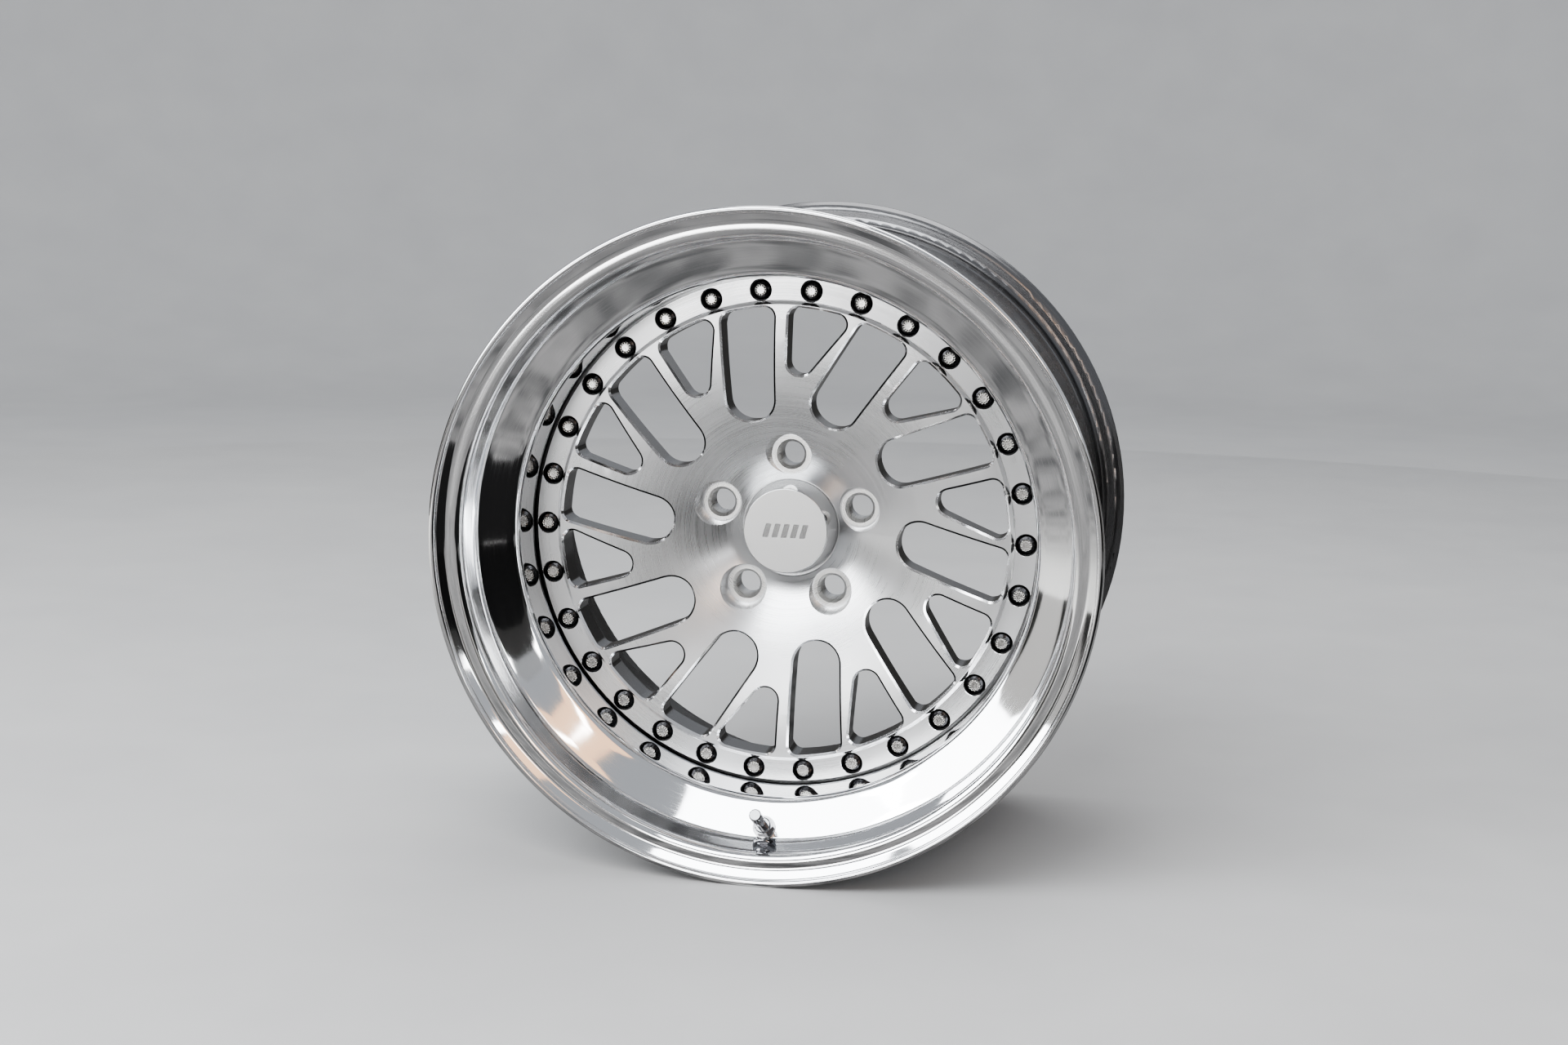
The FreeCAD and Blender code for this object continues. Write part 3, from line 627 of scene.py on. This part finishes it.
# %% [markdown]
# ## The studio
#
# Polished metal is only as interesting as what it reflects. The floor is a wide pale bowl
# whose edge curves up, so it has no visible corner from any side. Soft lights hang above
# the front. A mirror in an all-white room looks like white paint, so a second, darker
# surrounding stands just inside the bowl: a mottled ground, a low wall with a few pale
# stripes, and a black screen and mat on the right. Only reflections see them. They cast no
# shadow and never show themselves. The lights are a soft sky in front and one on the left,
# a low fill in front, one overhead behind the wheel, and on the right a warm panel and two
# narrow strips that the polished lip mirrors.

# %% Floor
FLOOR_Z = float(low[2])
FLOOR_R, BOWL_R = 3.4, 1.6
AROUND_BOWL = 128


def dish(name, radius, height):
    """A bowl round the Z axis: row k has this radius and height, and its faces look inwards."""
    angle = np.arange(AROUND_BOWL) * 2 * math.pi / AROUND_BOWL
    x, y = radius[:, None] * np.sin(angle), radius[:, None] * np.cos(angle)
    z = np.broadcast_to(FLOOR_Z + height[:, None], x.shape)
    points = np.stack((x, y, z), axis=-1)[:, ::-1]
    faces = strip_faces(len(radius), AROUND_BOWL, 1)
    bowl = mesh_from(name, points.reshape(-1, 3), faces, 60.0)
    close_poles(bowl)
    return bowl


def pale_floor():
    """A flat disc of radius FLOOR_R that curves up along a quarter circle of radius BOWL_R."""
    bend = np.linspace(0, math.pi / 2, 24)
    radius = np.concatenate((np.linspace(0, FLOOR_R, 12)[:-1], FLOOR_R + BOWL_R * np.sin(bend)))
    height = np.concatenate((np.zeros(11), BOWL_R * (1 - np.cos(bend))))
    return dish("floor", radius, height)


def floor_paint():
    """Pale matt paint that varies a little from place to place."""
    material, shader = finish("floor_paint", (0.62, 0.62, 0.62), 0.0, 0.6)
    speckle = cloudy(material, 6.0, 5.0)
    tone = mix_colours(material, speckle, (0.50, 0.50, 0.505), (0.58, 0.58, 0.575))
    drive(material, shader, "Base Color", tone)
    return material


floor = pale_floor()
coat(floor, floor_paint())

# %% Surrounding for reflections
GROUND_R, WALL_HEIGHT = 2.6, 0.75
ABOVE_FLOOR = 0.0012


def only_in_mirrors(obj):
    """Hides an object from everything but reflections."""
    obj.visible_camera = obj.visible_shadow = obj.visible_diffuse = False


def dull(name, colour):
    """A matt paint with no shine of its own."""
    material, shader = finish(name, colour, 0.0, 0.9)
    shader.inputs["Specular IOR Level"].default_value = 0.0
    return material, shader


def mottled_ground():
    """Worn grey ground with dark blotches, paler towards the left."""
    material, shader = dull("mottled_ground", (0.2, 0.2, 0.2))
    x = place_on_wheel(material)[0]
    blotch = remap(material, cloudy(material, 20.0, 6.0), 0.34, 0.64, 0.0, 1.0)
    grey = mix_colours(material, blotch, (0.07, 0.07, 0.07), (0.24, 0.235, 0.23))
    left = remap(material, x, -0.55, -1.3, 0.0, 0.8)
    drive(material, shader, "Base Color", mix_colours(material, left, grey, (0.62, 0.61, 0.58)))
    return material


def striped_wall():
    """Dark wall with upright stripes: the direction seen from the hub picks the tone."""
    material, shader = dull("striped_wall", (0.05, 0.05, 0.05))
    x, y, _, _ = place_on_wheel(material)
    azimuth = maths(material, "ARCTAN2", x, maths(material, "MULTIPLY", y, -1.0))
    share = maths(material, "ADD", maths(material, "DIVIDE", azimuth, 2 * math.pi), 0.5)
    ramp = add(material, "ValToRGB", [(0, share)])
    ramp.color_ramp.interpolation = "CONSTANT"
    stripes = [
        # share of the whole turn where a stripe starts, and its tone
        (0.00, 0.10), (0.22, 0.03), (0.30, 0.45), (0.315, 0.03), (0.335, 0.55), (0.36, 0.06),
        (0.42, 0.30), (0.50, 0.12), (0.55, 0.50), (0.57, 0.04), (0.66, 0.02), (0.74, 0.25), (0.80, 0.08)]
    for where, tone in stripes:
        stop = ramp.color_ramp.elements.new(where) if where else ramp.color_ramp.elements[0]
        stop.color = (tone, tone * 0.97, tone * 0.93, 1)
    ramp.color_ramp.elements.remove(ramp.color_ramp.elements[-1])
    drive(material, shader, "Base Color", ramp.outputs[0])
    return material


ground = dish("mirror_ground", np.linspace(0, GROUND_R, 10), np.full(10, ABOVE_FLOOR))
coat(ground, mottled_ground())
wall_r, wall_z = np.array([GROUND_R, GROUND_R + 0.01]), np.array([ABOVE_FLOOR, WALL_HEIGHT])
wall = dish("mirror_wall", wall_r, wall_z)
coat(wall, striped_wall())
only_in_mirrors(ground)
only_in_mirrors(wall)


# %% Lights and screens
def aim(obj, place, target):
    """Stands an object at a place so that its -Z side faces the target."""
    obj.location = place
    obj.rotation_euler = (Vector(target) - Vector(place)).to_track_quat("-Z", "Y").to_euler()


def soft_light(name, place, target, width, height, watts, colour=(1, 1, 1)):
    """A rectangular light of this width and height that faces its target."""
    data = bpy.data.lights.new(name, "AREA")
    data.shape = "RECTANGLE"
    data.size, data.size_y = width, height
    data.energy = watts
    data.color = colour
    light = bpy.data.objects.new(name, data)
    aim(light, place, target)
    bpy.context.scene.collection.objects.link(light)


def screen(name, place, target, width, height, tone):
    """A flat screen that only mirrors see."""
    signs = np.array([(-1, -1, 0), (1, -1, 0), (1, 1, 0), (-1, 1, 0)])
    corners = signs * (width / 2, height / 2, 0)
    obj = mesh_from(name, corners, np.array([(0, 1, 2, 3)]), 60.0)
    aim(obj, place, target)
    coat(obj, dull(name, (tone, tone, tone))[0])
    only_in_mirrors(obj)


WHEEL = (0, 0, 0)
soft_light("front_sky", (-0.95, -2.3, 2.4), WHEEL, 2.6, 1.8, 96, (0.96, 0.98, 1.0))
soft_light("left_sky", (-2.5, -1.7, 1.35), WHEEL, 2.0, 1.5, 62, (0.97, 0.98, 1.0))
soft_light("front_low", (-0.62, -2.5, 0.15), WHEEL, 2.6, 0.75, 30)
soft_light("top_fill", (0.4, 0.9, 2.9), WHEEL, 2.4, 2.4, 50)
soft_light("warm_panel", (1.22, -2.15, 1.27), WHEEL, 1.0, 0.72, 3.2, (1.0, 0.52, 0.20))
soft_light("white_strip", (1.26, -2.0, 1.08), WHEEL, 0.9, 0.09, 1.8)
soft_light("low_strip", (1.62, -1.95, 0.56), WHEEL, 0.6, 0.11, 1.5)
screen("right_screen", (1.30, -1.35, -0.03), (0, 0, -0.03), 1.0, 0.44, 0.01)
screen("right_mat", (0.85, -0.95, -0.2460), (0.85, -0.95, 1.0), 1.15, 1.15, 0.012)

world = bpy.data.worlds.new("studio")
world.use_nodes = True
world.node_tree.nodes["Background"].inputs["Color"].default_value = (0.85, 0.88, 0.93, 1)
world.node_tree.nodes["Background"].inputs["Strength"].default_value = 0.5
bpy.context.scene.world = world
bpy.context.scene.view_settings.view_transform = "AgX"
bpy.context.scene.view_settings.look = "AgX - Medium High Contrast"
